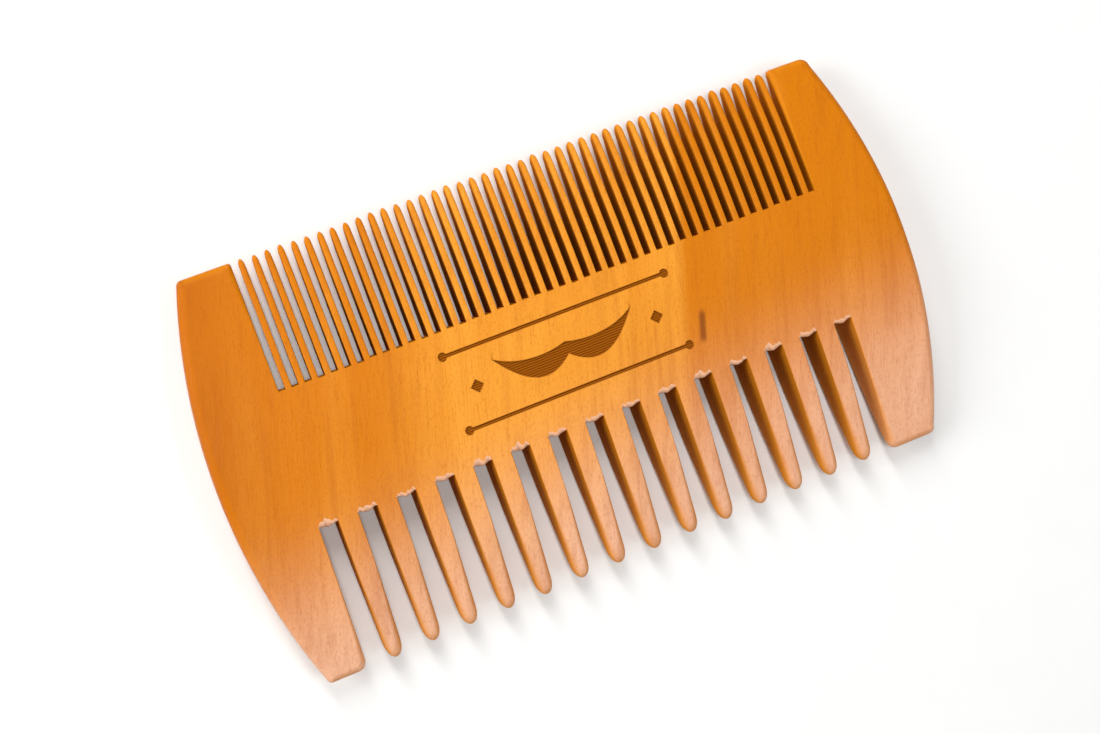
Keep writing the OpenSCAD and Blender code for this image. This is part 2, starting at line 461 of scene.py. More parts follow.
class Outline:
    """The board's outline seen from above, anticlockwise, with what each point's edges are like."""

    KEYS = ("ease", "lower_ease", "lean", "torn", "sawn", "limit", "facing")

    def __init__(self):
        self.points = []
        self.facts = {key: [] for key in self.KEYS}

    def add(self, points, ease, lower_ease=None, lean=0.0, torn=0.0, sawn=0.0, limit=1.0,
            facing=0.0):
        """Adds a stretch. ease is (plan inset, height drop) of the upper edge's rounding, limit
        the most that the inset may be there, and facing 1 or -1 where it only goes along Y."""
        self.points.append(points)
        upper = np.stack(np.broadcast_arrays(*ease), -1)
        lower = upper if lower_ease is None else np.stack(np.broadcast_arrays(*lower_ease), -1)
        for key, value in zip(self.KEYS, (upper, lower, lean, torn, sawn, limit, facing)):
            shape = (len(points), 2) if key.endswith("ease") else (len(points),)
            self.facts[key].append(np.array(np.broadcast_to(np.asarray(value, float), shape)))

    def close(self):
        """Joins the stretches, works out the inward directions, and narrows the roundings so
        that they fit into the corners."""
        self.points = np.concatenate(self.points)
        for key in self.KEYS:
            setattr(self, key, np.concatenate(self.facts[key]))
        ahead = np.roll(self.points, -1, 0) - self.points
        ahead /= np.linalg.norm(ahead, axis=1)[:, None]
        tangent = ahead + np.roll(ahead, 1, 0)
        tangent /= np.linalg.norm(tangent, axis=1)[:, None]
        self.inward = np.stack([-tangent[:, 1], tangent[:, 0]], 1)
        level = self.facing != 0
        self.inward[level] = np.stack([0 * self.facing, self.facing], 1)[level]
        tight = self.limit < 1
        away = np.linalg.norm(self.points[:, None] - self.points[None, tight], axis=2)
        room = (self.limit[tight] + 0.6 * away).min(1)
        for ease in (self.ease, self.lower_ease):
            ease[:, 0] = np.minimum(ease[:, 0], room)


# Rounding of the guards' corners seen from above, by (end, row)
OUTER_CORNERS = {(-1, 1): 0.8 * MM, (1, 1): 1.2 * MM, (-1, -1): 0.7 * MM, (1, -1): 1.0 * MM}
INNER_CORNERS = {(-1, 1): 0.4 * MM, (1, 1): 0.5 * MM, (-1, -1): 1.2 * MM, (1, -1): 1.1 * MM}
# Share of the half thickness that a rounding may take
FULL_ROUND = 0.97
# Plan inset of an edge that stays sharp and flush
FLUSH = 0.02 * MM


def outer_corner(side, row):
    """Centre of an outer corner's arc, and the angle at which it meets the convex end."""
    radius = OUTER_CORNERS[side, row]
    inner_y = HALF_WIDTH - radius
    reach = math.sqrt((END_RADIUS - radius) ** 2 - inner_y**2)
    centre = (side * (HALF_LENGTH - END_RADIUS + reach), row * inner_y)
    return centre, math.degrees(math.atan2(row * inner_y, side * reach))


def rounding(points, radius):
    """Plan inset and height drop of a rounded edge, no deeper than the board allows."""
    room = FULL_ROUND * half_thickness(points[:, 1])
    return np.broadcast_to(radius, len(points)), np.minimum(radius, room)


class Cuts:
    """Where one row's saw cuts stand."""

    def __init__(self, names, pitch, width, row, lean=0.0):
        self.count = len(names)
        self.pitch = pitch
        self.width = width
        self.row = row
        self.lean = math.tan(lean)
        self.floor = FINE_FLOOR if row > 0 else COARSE_FLOOR
        # The cuts lean about the level of the upper face, a little above a root's upper edge
        above = THICKNESS / 2 - half_thickness(self.floor)
        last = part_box(names[-1])[0].x + width / 2 - above * self.lean
        self.first = last - (self.count - 1) * pitch

    def tooth(self, k):
        """Middle of tooth k at its root. Teeth 0 and count + 1 would end at the guards' faces."""
        return self.first + (k - 1) * self.pitch

    def guard_face(self, side):
        """Inner face of a guard."""
        beside = 0 if side < 0 else self.count + 1
        return self.tooth(beside) - side * self.width / 2


# Angle at which the arc of a guard's inner corner starts, by (end, row)
INNER_STARTS = {(-1, 1): 0, (1, 1): 90, (-1, -1): -90, (1, -1): -180}
# How far the guards' coarse faces open towards the tips
GUARD_OPENING = 0.3 * MM
# Rounding of the guards' ends, and of their inner faces at the kerf floor and beyond
GUARD_EASE = 0.9 * MM
WALL_EASE = (0.12 * MM, 0.7 * MM)


def add_guard_tip(outline, cuts, side):
    """Goes round a guard's end on one row, between the convex end and the first kerf floor."""
    row, lean = cuts.row, cuts.lean
    centre, meets = outer_corner(side, row)
    face = cuts.guard_face(side)
    tip_face = face + (GUARD_OPENING * side if row < 0 else 0.0)
    inner = INNER_CORNERS[side, row]
    turning = row * HALF_WIDTH
    first_angle = meets if side * row > 0 else 90 * row
    last_angle = 90 * row if side * row > 0 else meets
    if first_angle - last_angle > 180:
        last_angle += 360
    outer_arc = arc_points(centre, OUTER_CORNERS[side, row], first_angle, last_angle, 8)
    inner_centre = (tip_face + side * inner, row * (HALF_WIDTH - inner))
    start = INNER_STARTS[side, row]
    inner_arc = arc_points(inner_centre, inner, start, start + 90, 6)
    wall_ends = [(face, cuts.floor), (tip_face, row * (HALF_WIDTH - inner))]
    flat_ends = [(inner_centre[0], turning), (centre[0], turning)]
    going_out = side * row < 0
    if not going_out:
        wall_ends.reverse()
        flat_ends.reverse()
    wall = line_points(*wall_ends, 0.5 * MM)
    flat = line_points(*flat_ends, 0.4 * MM)
    far = np.abs(wall[:, 1] - cuts.floor) / abs(HALF_WIDTH - abs(cuts.floor))
    wall_ease = WALL_EASE[0] + WALL_EASE[1] * far**2
    spread = np.abs(flat[:, 0] - centre[0]) / abs(centre[0] - face)
    # Points, rounding, lean, how sawn they look, and the most that the rounding may be
    stretches = [
        (outer_arc, GUARD_EASE, 0.0, 0.0, 0.85 * OUTER_CORNERS[side, row]),
        (flat, GUARD_EASE, lean * spread, 0.6, 1.0),
        (inner_arc, GUARD_EASE, lean, 0.3, 0.85 * inner),
        (wall, wall_ease, lean, 0.9 - 0.3 * far, 1.0),
    ]
    if going_out:
        stretches.reverse()
    for points, radius, leaning, sawn, limit in stretches:
        outline.add(points, rounding(points, radius), lean=leaning, sawn=sawn, limit=limit)


def add_convex_end(outline, side):
    """Goes along one convex end."""
    start = outer_corner(side, -side)[1]
    end = outer_corner(side, side)[1]
    if side < 0:
        start, end = start % 360, end % 360
    centre = (side * (HALF_LENGTH - END_RADIUS), 0.0)
    points = arc_points(centre, END_RADIUS, start, end, 90)
    ease = bpy.context.scene.beard_comb.board.end_ease
    outline.add(points, rounding(points, ease))


def add_root(outline, start, end, cuts):
    """Crosses the root of one tooth, where the board stays flush with it."""
    points = line_points((start, cuts.floor), (end, cuts.floor), 0.3 * MM)
    outline.add(points, (FLUSH, 0.0), lean=cuts.lean, facing=-cuts.row)


def add_fine_floor(outline, start, end, cuts, sizes, rng):
    """Crosses the floor of one fine cut, each a little deeper or shallower than the next."""
    depth = cuts.floor + sizes.kerf_wander * rng.uniform(-1.2, 0.8)
    step = 0.02 * MM
    spacing = 0.12 * MM
    bottom = line_points((start - step, depth), (end + step, depth), spacing)
    points = np.concatenate([[(start, cuts.floor)], bottom, [(end + step, depth)]])
    ease = sizes.kerf_ease * (1 + 0.4 * smooth_noise(rng, len(points), spacing, 0.25 * MM))
    outline.add(points, (ease, ease), lean=cuts.lean, sawn=0.9, facing=-1.0)


# Rounded width of a coarse cut
KERF_WIDTH = 2.6 * MM


def torn_width(rng, places, sizes):
    """Width of the torn edge at places from 0 to 1 across a coarse floor."""
    spacing = KERF_WIDTH / len(places)
    rough = smooth_noise(rng, len(places), spacing, 0.35 * MM)
    rougher = smooth_noise(rng, len(places), spacing, 0.14 * MM)
    width = sizes.torn_edge * (0.85 + 0.3 * rough + 0.14 * rougher)
    hump = sizes.torn_edge * rng.choice([0.0, 0.3, 0.9], p=[0.45, 0.4, 0.15])
    width += hump * np.exp(-np.square((places - rng.uniform(0.3, 0.7)) / 0.13))
    shoulder = np.clip(np.minimum(places, 1 - places) / 0.1, 0.25, 1)
    return np.maximum(width * shoulder, 0.05 * MM)


def add_coarse_floor(outline, start, end, cuts, sizes, rng):
    """Crosses the floor of one coarse cut: a low ridge below a torn edge."""
    spacing = 0.1 * MM
    points = line_points((start, cuts.floor), (end, cuts.floor), spacing)
    places = np.arange(len(points)) / len(points)
    ridge = sizes.ridge * (1 - np.abs(2 * places - 1))
    uneven = 0.035 * MM * smooth_noise(rng, len(points), spacing, 0.3 * MM)
    points[:, 1] -= ridge + uneven * np.minimum(1, 8 * places)
    upper = torn_width(rng, places, sizes)
    lower = torn_width(rng, places, sizes)
    outline.add(points, (upper, 0.8 * upper), (lower, 0.8 * lower), torn=1.0, sawn=0.9,
                facing=1.0)


def board_outline(settings):
    """The whole outline, from the left guard's coarse tip round to the left convex end."""
    sizes = settings.board
    rng = np.random.default_rng(sizes.seed)
    fine = Cuts(FINE_TEETH, FINE_PITCH, settings.fine.width, 1, settings.fine.lean)
    coarse = Cuts(COARSE_TEETH, COARSE_PITCH, settings.coarse.width, -1)
    outline = Outline()
    add_guard_tip(outline, coarse, -1)
    for k in range(coarse.count + 1):
        left = coarse.tooth(k) + coarse.width / 2
        right = coarse.tooth(k + 1) - coarse.width / 2
        add_coarse_floor(outline, left, right, coarse, sizes, rng)
        if k < coarse.count:
            add_root(outline, right, right + coarse.width, coarse)
    add_guard_tip(outline, coarse, 1)
    add_convex_end(outline, 1)
    add_guard_tip(outline, fine, 1)
    for k in range(fine.count, -1, -1):
        left = fine.tooth(k) + fine.width / 2
        right = fine.tooth(k + 1) - fine.width / 2
        add_fine_floor(outline, right, left, fine, sizes, rng)
        if k > 0:
            add_root(outline, left, left - fine.width, fine)
    add_guard_tip(outline, fine, -1)
    add_convex_end(outline, -1)
    outline.close()
    return outline


# ---- the burnt emblem: two rules, and between them a moustache with a lozenge on each side

EMBLEM = np.array([-1.1, 1.8]) * MM
RULE_LENGTH = 32 * MM
RULE_GAP = 10.2 * MM
RULE_WIDTH = 0.45 * MM
MOUSTACHE_REACH = 10 * MM
LOZENGE = 0.9 * MM


def rule_loop(y):
    """A thin rule that ends in two discs."""
    half = RULE_WIDTH / 2
    disc = 1.3 * RULE_WIDTH
    edge = math.degrees(math.asin(half / disc))
    reach = RULE_LENGTH / 2
    neck = reach - disc * math.cos(math.radians(edge))
    return np.concatenate([
        arc_points((reach, 0), disc, edge - 180, 180 - edge, 20),
        line_points((neck, half), (-neck, half), 0.4 * MM),
        arc_points((-reach, 0), disc, edge, 360 - edge, 20),
        line_points((-neck, -half), (neck, -half), 0.4 * MM),
    ]) + (0, y)


def lozenge_loop(x):
    """A small square on its corner."""
    corners = [(x + LOZENGE, 0), (x, LOZENGE), (x - LOZENGE, 0), (x, -LOZENGE)]
    return np.concatenate([line_points(corners[k - 1], corners[k], 0.25 * MM)
                           for k in (1, 2, 3, 0)])


def moustache_loop():
    """A handlebar moustache, from one tail to the other and back."""
    steps = 40
    place = np.linspace(-1, 1, 2 * steps + 1)
    t = np.abs(place)
    middle = (0.5 - 6 * t + 8 * t**2) * MM
    half = 1.4 * MM * np.sin(np.pi * (0.2 + 0.8 * t))
    x = MOUSTACHE_REACH * place
    lower = np.stack([x, middle - half], 1)
    upper = np.stack([x, middle + half], 1)[1:-1]
    return np.concatenate([lower, upper[::-1]])


def emblem_loops():
    """Every outline of the emblem, anticlockwise."""
    aside = (MOUSTACHE_REACH + RULE_LENGTH / 2) / 2
    loops = [rule_loop(RULE_GAP / 2), rule_loop(-RULE_GAP / 2), lozenge_loop(aside),
             lozenge_loop(-aside), moustache_loop()]
    return [EMBLEM + loop for loop in loops]


def loop_inward(loop):
    """Inward directions along a closed anticlockwise loop."""
    ahead = np.roll(loop, -1, 0) - np.roll(loop, 1, 0)
    ahead /= np.linalg.norm(ahead, axis=1)[:, None]
    return np.stack([-ahead[:, 1], ahead[:, 0]], 1)


class Shell:
    """Collects vertices, faces and attributes of one mesh."""

    def __init__(self):
        self.blocks = []
        self.faces = []
        self.count = 0
        self.facts = {"sawn": [], "torn": [], "burn": []}

    def add(self, vertices, **facts):
        """Adds vertices and returns their numbers."""
        numbers = self.count + np.arange(len(vertices))
        self.blocks.append(vertices)
        self.count += len(vertices)
        for key, rows in self.facts.items():
            rows.append(np.broadcast_to(np.asarray(facts.get(key, 0.0), float), len(vertices)))
        return numbers

    def bridge(self, first, second):
        """Joins two closed rings with four-sided faces."""
        pairs = zip(first, np.roll(first, -1), np.roll(second, -1), second)
        self.faces += [tuple(int(v) for v in face) for face in pairs]


# Angles at which a rounded edge is drawn, from the wall up to the face
ROUND_STEPS = np.radians([0, 22.5, 45, 67.5, 90])
# Extra flat ring that keeps the edge's finish off the face
MARGIN = 0.05 * MM
# Spacing of a face's inner points, and how far they keep from its border
CAP_GRID = 1.4 * MM
CAP_CLEARANCE = 0.35 * MM
# Ring of face points round the emblem, and how far its walls slope inwards
HALO = 0.13 * MM
WALL_SLOPE = 0.04 * MM


def board_height(y, up):
    """Height of the upper or lower face."""
    return THICKNESS / 2 + up * half_thickness(y)


def edge_rings(shell, outline, up):
    """Draws the rounded edge of one face, and returns its rings from the wall inwards."""
    ease = outline.ease if up > 0 else outline.lower_ease
    rings = []
    for turn in [*ROUND_STEPS, None]:
        if turn is None:
            inset, drop, sawn, torn = ease[:, 0] + MARGIN, 0.0, 0.0, 0.0
        else:
            inset = ease[:, 0] * (1 - math.cos(turn))
            drop = ease[:, 1] * (1 - math.sin(turn))
            sawn = outline.sawn * math.cos(turn)
            torn = outline.torn if turn > 0 else 0.0
        plan = outline.points + outline.inward * inset[:, None]
        z = board_height(plan[:, 1], up) - up * drop
        x = plan[:, 0] + outline.lean * (THICKNESS - z)
        rings.append(shell.add(np.stack([x, plan[:, 1], z], 1), sawn=sawn, torn=torn))
    return rings


def grid_inside(rings):
    """Points of a square grid that keep clear of all the rings."""
    x = np.arange(-HALF_LENGTH, HALF_LENGTH, CAP_GRID)
    y = np.arange(-HALF_WIDTH, HALF_WIDTH, CAP_GRID)
    grid = np.stack(np.meshgrid(x, y), -1).reshape(-1, 2)
    border = np.concatenate(rings)
    clear = np.ones(len(grid), bool)
    for k in range(0, len(border), 500):
        away = grid[:, None] - border[None, k : k + 500]
        clear &= (np.hypot(away[..., 0], away[..., 1]) > CAP_CLEARANCE).all(1)
    return grid[clear]


def triangulate(loops, points):
    """Triangles over the first loop, each with the number of the other loop that it lies in, or 0.
    The vertices are the loops' points, in order, then the free points."""
    everything = np.concatenate([*loops, points])
    ids, start = [], 0
    for loop in loops:
        ids.append(list(range(start, start + len(loop))))
        start += len(loop)
    # The triangulation works in millimetres, because it is made for sizes about 1
    flat = [tuple(p) for p in (everything / MM).tolist()]
    _, _, faces, origins, _, face_origins = delaunay_2d_cdt(flat, [], ids, 1, 1e-7, True)
    back = [sources[0] if sources else None for sources in origins]
    if None in back:
        raise RuntimeError("the board's outline crosses itself")
    kept = []
    for face, sources in zip(faces, face_origins):
        if 0 in sources:
            inside = [s for s in sources if s > 0]
            kept.append((tuple(back[v] for v in face), inside[0] if inside else 0))
    return kept


def close_face(shell, ring, up, emblem, depth):
    """Fills the face inside its last ring, and cuts the emblem's walls into it. Returns the free
    vertices of the emblem's floor, which are still level with the face."""
    vertices = np.concatenate(shell.blocks)
    border = vertices[ring][:, :2]
    halo = [loop - loop_inward(loop) * HALO for loop in emblem]
    free = np.concatenate([grid_inside([border, *emblem, *halo]), *halo])
    triangles = triangulate([border, *emblem], free)
    upper = list(ring)
    lower = list(ring)
    for loop in emblem:
        z = board_height(loop[:, 1], up)
        upper += list(shell.add(np.column_stack([loop, z]), burn=0.6))
        plan = loop + loop_inward(loop) * WALL_SLOPE
        z = board_height(plan[:, 1], up) - up * depth
        lower += list(shell.add(np.column_stack([plan, z]), burn=1.0))
    z = board_height(free[:, 1], up)
    upper += list(shell.add(np.column_stack([free, z])))
    lower = lower + upper[len(lower) :]
    floor = set()
    for corners, inside in triangles:
        level = lower if inside else upper
        face = [int(level[v]) for v in corners]
        shell.faces.append(tuple(face) if up > 0 else tuple(reversed(face)))
        if inside:
            floor.update(face)
    start = len(ring)
    for loop in emblem:
        span = slice(start, start + len(loop))
        shell.bridge(np.array(upper[span]), np.array(lower[span]))
        start += len(loop)
    return floor - set(int(v) for v in lower[len(ring) : start])


def comb_board(settings):
    """The board between the two rows of teeth, with both guards."""
    outline = board_outline(settings)
    shell = Shell()
    upper = edge_rings(shell, outline, 1)
    lower = edge_rings(shell, outline, -1)
    shell.bridge(lower[0], upper[0])
    for k in range(len(upper) - 1):
        shell.bridge(upper[k], upper[k + 1])
        shell.bridge(lower[k + 1], lower[k])
    depth = settings.board.burn_depth
    floor = close_face(shell, upper[-1], 1, emblem_loops(), depth)
    close_face(shell, lower[-1], -1, [], 0.0)
    vertices = np.concatenate(shell.blocks)
    facts = {key: np.concatenate(rows) for key, rows in shell.facts.items()}
    sunk = np.array(sorted(floor), int)
    vertices[sunk, 2] -= depth
    facts["burn"][sunk] = 1.0
    facts["tone"] = np.zeros(len(vertices))
    board = new_piece("comb_board", vertices, shell.faces, facts, comb_wood())
    board.data.set_sharp_from_angle(angle=math.radians(35))
    weigh = board.modifiers.new("Weighted Normal", "WEIGHTED_NORMAL")
    weigh.keep_sharp = True
    return board


# ---- the teeth

# The root of a tooth is sunk into the board by this much, and lies this far under its faces
ROOT_DEPTH = 0.4 * MM
ROOT_CLEARANCE = 0.02 * MM
# Where the sunk root starts, just behind the board's edge
ROOT_START = -0.01 * MM
# Length over which the round tip edge brings the faces together
TIP_EDGE = 1.0 * MM
CORNER_STEPS = 4
# Angles round the nose at which its sections stand
NOSE_ANGLES = np.radians([20, 38, 53, 66, 76, 84])


def tooth_section(half_width, half_height, inset, drop):
    """Contour of a rounded rectangle, with the share of each point that faces sideways."""
    turn = np.radians(np.linspace(0, 90, CORNER_STEPS + 1))
    corner_x = half_width - inset * (1 - np.cos(turn))
    corner_z = half_height - drop * (1 - np.sin(turn))
    quarter_x = np.concatenate([[half_width], corner_x])
    quarter_z = np.concatenate([[0.0], corner_z])
    side = np.concatenate([[1.0], np.cos(turn)])
    x = np.concatenate([quarter_x, [0.0], -quarter_x[::-1]])
    z = np.concatenate([quarter_z, [half_height], quarter_z[::-1]])
    side = np.concatenate([side, [0.0], side[::-1]])
    x = np.concatenate([x, -x[1:-1]])
    z = np.concatenate([z, -z[1:-1]])
    return x, z, np.concatenate([side, side[1:-1]])


def round_off(place, reach, nose):
    """Share of the width that is left at a place in a round nose."""
    along = np.clip((place - (reach - nose)) / nose, 0, 1)
    return np.sqrt(1 - along**2)


def tooth_stations(reach, nose):
    """Places along a tooth where its section is drawn, closer together round the nose."""
    shaft = np.linspace(0, reach - nose, 12)
    tip = reach - nose + nose * np.sin(NOSE_ANGLES)
    return np.concatenate([[-ROOT_DEPTH, ROOT_START], shaft, tip])


def tooth_template(name, row, reach, nose, shape, fade, scorch_and_root_shade):
    """One tooth, lofted along Y from its root at the origin. shape gives the half width, the share
    of the half width and the share of the half height that the corners take, at a place. fade is
    how fast the flanks' colour fades round the corners, and the last argument how much painted
    shade darkens the flanks at the root, where the cut is deep, fading towards the tip."""
    floor = FINE_FLOOR if row > 0 else COARSE_FLOOR
    rings, sides, root_shades = [], [], []
    for place in tooth_stations(reach, nose):
        sunk = ROOT_CLEARANCE if place < 0 else 0.0
        high = half_thickness(floor + row * place) * round_off(place, reach, TIP_EDGE) - sunk
        wide, take_wide, take_high = shape(place)
        x, z, side = tooth_section(wide, high, take_wide * wide, take_high * high)
        rings.append(np.column_stack([x, np.full(len(x), row * place), z]))
        # The very end of the nose looks like the flanks
        nearly_end = 0.9 * np.clip((place - (reach - nose)) / nose, 0, 1) ** 3
        sides.append(np.maximum(side**fade, nearly_end))
        # Painted shade: the flanks darken at the root, deep in the cut, and less towards the tip
        root_shades.append(side**fade * scorch_and_root_shade * (1 - 0.9 * np.clip(place / reach, 0, 1)))
    size = len(rings[0])
    vertices = np.concatenate([*rings, [(0, -row * ROOT_DEPTH, 0), (0, row * reach, 0)]])
    root, apex = len(vertices) - 2, len(vertices) - 1
    last = (len(rings) - 1) * size
    faces = []
    for low in range(0, last, size):
        for v in range(size):
            after = (v + 1) % size
            faces.append((low + v, low + after, low + size + after, low + size + v))
    faces += [((v + 1) % size, v, root) for v in range(size)]
    faces += [(last + v, last + (v + 1) % size, apex) for v in range(size)]
    if row > 0:
        faces = [tuple(reversed(face)) for face in faces]
    facts = {
        "sawn": np.concatenate([*sides, [1.0, 0.0]]),
        "torn": np.zeros(len(vertices)),
        "burn": np.concatenate([*root_shades, [scorch_and_root_shade, 0.0]]),
    }
    tooth = new_piece(name, vertices, faces, facts, comb_wood())
    tooth.data.set_sharp_from_angle(angle=math.radians(40))
    return tooth


def row_tree():
    """Geometry nodes that set a row of teeth along the board."""
    tree = bpy.data.node_groups.new("tooth_row", "GeometryNodeTree")
    for name, kind in (("Tooth", "Object"), ("Count", "Int"), ("Pitch", "Float"),
                       ("First", "Vector"), ("Lean", "Float"), ("Splay", "Float"),
                       ("Uneven", "Float"), ("Seed", "Int"), ("Material", "Material")):
        tree.interface.new_socket(name, in_out="INPUT", socket_type="NodeSocket" + kind)
    tree.interface.new_socket("Geometry", in_out="OUTPUT", socket_type="NodeSocketGeometry")
    sizes = add_node(tree, "NodeGroupInput").outputs

    def random_value(offset):
        draw = maths(tree, "ADD", sizes["Seed"], offset)
        node = add_node(tree, "FunctionNodeRandomValue",
                        {"Min": -1.0, "Max": 1.0, "Seed": draw}, data_type="FLOAT")
        return node.outputs["Value"]

    # The tooth leans about its upper edge, as its saw cuts do
    place = add_node(tree, "GeometryNodeInputPosition").outputs[0]
    height = add_node(tree, "ShaderNodeSeparateXYZ", {0: place}).outputs["Z"]
    below = maths(tree, "SUBTRACT", THICKNESS / 2, height)
    shift = add_node(tree, "ShaderNodeCombineXYZ",
                     {"X": maths(tree, "MULTIPLY", below, sizes["Lean"])})
    tooth = add_node(tree, "GeometryNodeObjectInfo", {"Object": sizes["Tooth"]})
    leaning = add_node(tree, "GeometryNodeSetPosition",
                       {"Geometry": tooth.outputs["Geometry"], "Offset": shift.outputs[0]})

    step = add_node(tree, "ShaderNodeCombineXYZ", {"X": sizes["Pitch"]})
    line = add_node(tree, "GeometryNodeMeshLine",
                    {"Count": sizes["Count"], "Start Location": sizes["First"],
                     "Offset": step.outputs[0]})
    index = add_node(tree, "GeometryNodeInputIndex").outputs[0]
    middle = maths(tree, "DIVIDE", maths(tree, "SUBTRACT", sizes["Count"], 1.0), 2.0)
    off_middle = maths(tree, "SUBTRACT", index, middle)
    angle = maths(tree, "MULTIPLY", off_middle, sizes["Splay"])
    hand = maths(tree, "MULTIPLY", random_value(1), sizes["Uneven"])
    turn = add_node(tree, "ShaderNodeCombineXYZ", {"Z": total(tree, angle, (hand, 0.5))})
    reach = total(tree, 1.0, (random_value(2), sizes["Uneven"]))
    scale = add_node(tree, "ShaderNodeCombineXYZ", {"X": 1.0, "Y": reach, "Z": 1.0})
    teeth = add_node(tree, "GeometryNodeInstanceOnPoints",
                     {"Points": line.outputs["Mesh"], "Instance": leaning.outputs[0],
                      "Rotation": turn.outputs[0], "Scale": scale.outputs[0]})
    toned = add_node(tree, "GeometryNodeStoreNamedAttribute",
                     {"Geometry": teeth.outputs[0], "Name": "tone", "Value": random_value(3)},
                     data_type="FLOAT", domain="INSTANCE")
    real = add_node(tree, "GeometryNodeRealizeInstances", {"Geometry": toned.outputs[0]})
    finished = add_node(tree, "GeometryNodeSetMaterial",
                        {"Geometry": real.outputs[0], "Material": sizes["Material"]})
    add_node(tree, "NodeGroupOutput", {"Geometry": finished.outputs[0]})
    return tree


def tooth_row(name, template, cuts, sizes, splay=0.0):
    """Runs the geometry nodes with their inputs, and keeps the result as a plain mesh."""
    values = {
        "Tooth": template, "Count": cuts.count, "Pitch": cuts.pitch,
        "First": (cuts.first, cuts.floor, THICKNESS / 2), "Lean": cuts.lean, "Splay": splay,
        "Uneven": sizes.uneven, "Seed": sizes.seed, "Material": comb_wood()}
    tree = bpy.data.node_groups.get("tooth_row") or row_tree()
    piece = bpy.data.objects.new(name, bpy.data.meshes.new(name))
    bpy.context.scene.collection.objects.link(piece)
    modifier = piece.modifiers.new("Teeth", "NODES")
    modifier.node_group = tree
    for item in tree.interface.items_tree:
        if item.in_out == "INPUT":
            modifier[item.identifier] = values[item.name]
    graph = bpy.context.evaluated_depsgraph_get()
    mesh = bpy.data.meshes.new_from_object(
        piece.evaluated_get(graph), preserve_all_data_layers=True, depsgraph=graph)
    mesh.name = name
    piece.modifiers.remove(modifier)
    piece.data = mesh
    bpy.data.objects.remove(template)
    return piece


def fine_teeth(settings):
    """The row of fine teeth: straight, then narrowed to a round point."""
    sizes = settings.fine
    reach = HALF_WIDTH - FINE_FLOOR

    def shape(place):
        narrowing = np.clip((place - (reach - sizes.taper)) / sizes.taper, 0, 1)
        wide = sizes.width / 2 * (1 - 0.15 * narrowing**1.5)
        wide *= round_off(place, reach, sizes.nose)
        share = np.clip(place / reach, 0, 1)
        return wide, 0.22 + 0.5 * share**3, 0.04 + 0.35 * share**3

    # The last number is the strength of the painted shade at the flanks' roots
    template = tooth_template("fine_tooth", 1, reach, sizes.nose, shape, 4.0, 0.8)
    cuts = Cuts(FINE_TEETH, FINE_PITCH, sizes.width, 1, sizes.lean)
    return tooth_row("fine_teeth", template, cuts, sizes)


def coarse_teeth(settings):
    """The row of coarse teeth: splayed a little, with long round tips."""
    sizes = settings.coarse
    reach = HALF_WIDTH + COARSE_FLOOR

    def shape(place):
        share = np.clip(place / (reach - sizes.nose), 0, 1)
        wide = (sizes.width + (sizes.tip_width - sizes.width) * share**1.6) / 2
        nose = round_off(place, reach, sizes.nose)
        near_tip = np.clip((place - 0.35 * reach) / (0.65 * reach), 0, 1)
        return wide * nose, 0.10 + 0.8 * near_tip**1.2, 0.04 + 0.7 * near_tip**1.2

    # The last number is the strength of the painted shade at the flanks' roots
    template = tooth_template("coarse_tooth", -1, reach, sizes.nose, shape, 1.5, 0.5)
    cuts = Cuts(COARSE_TEETH, COARSE_PITCH, sizes.width, -1)
    return tooth_row("coarse_teeth", template, cuts, sizes, sizes.splay)


# ---- floor, light and camera


# The floor lies this far under the comb, so that the two never share a plane
FLOOR_GAP = 0.02 * MM
# Name, place, width and height of each lamp, in metres. The long strip stands in the plane of
# the leaning fine cuts, so it shines through them onto the floor
LAMPS = {
    "overhead": ((-0.08, 0.02, 0.70), 0.13, 0.13),
    "strip": ((-0.08, 0.52, 0.47), 0.12, 0.50),
    "left": ((-0.54, 0.20, 0.34), 0.35, 0.35),
    "sheen": ((0.30, -0.18, 0.60), 0.25, 0.25),
}
# The camera looks down from over the left end
CAMERA_PLACE = (-53.78 * MM, 19.05 * MM, 230.67 * MM)
CAMERA_TURN = (0.0955, -13.3131, -20.6668)
FOCAL_LENGTH = 57.19
SENSOR_WIDTH = 36.0


def matt_paper():
    """Matt white backing paper, which leaves nothing to see but soft shadows."""
    material = bpy.data.materials.new("matt_white_paper")
    material.use_nodes = True
    tree = material.node_tree
    shader = tree.nodes["Principled BSDF"]
    place = add_node(tree, "ShaderNodeTexCoord").outputs["Object"]
    noise = add_node(tree, "ShaderNodeTexNoise",
                     {"Vector": place, "Scale": 1 / (8 * MM), "Detail": 3.0}).outputs[0]
    paper = blend(tree, noise, linear("#ECECEA"), linear("#F0F0EF"))
    tree.links.new(paper, shader.inputs["Base Color"])
    shader.inputs["Roughness"].default_value = 0.95
    shader.inputs["Specular IOR Level"].default_value = 0.1
    return material


def softbox(name, place, width, height, watts):
    """A white area light that faces the comb."""
    light = bpy.data.lights.new(name, "AREA")
    light.shape = "RECTANGLE"
    light.size = width
    light.size_y = height
    light.energy = watts
    lamp = bpy.data.objects.new(name, light)
    bpy.context.scene.collection.objects.link(lamp)
    lamp.location = place
    lamp.rotation_euler = (-Vector(place)).to_track_quat("-Z", "Y").to_euler()


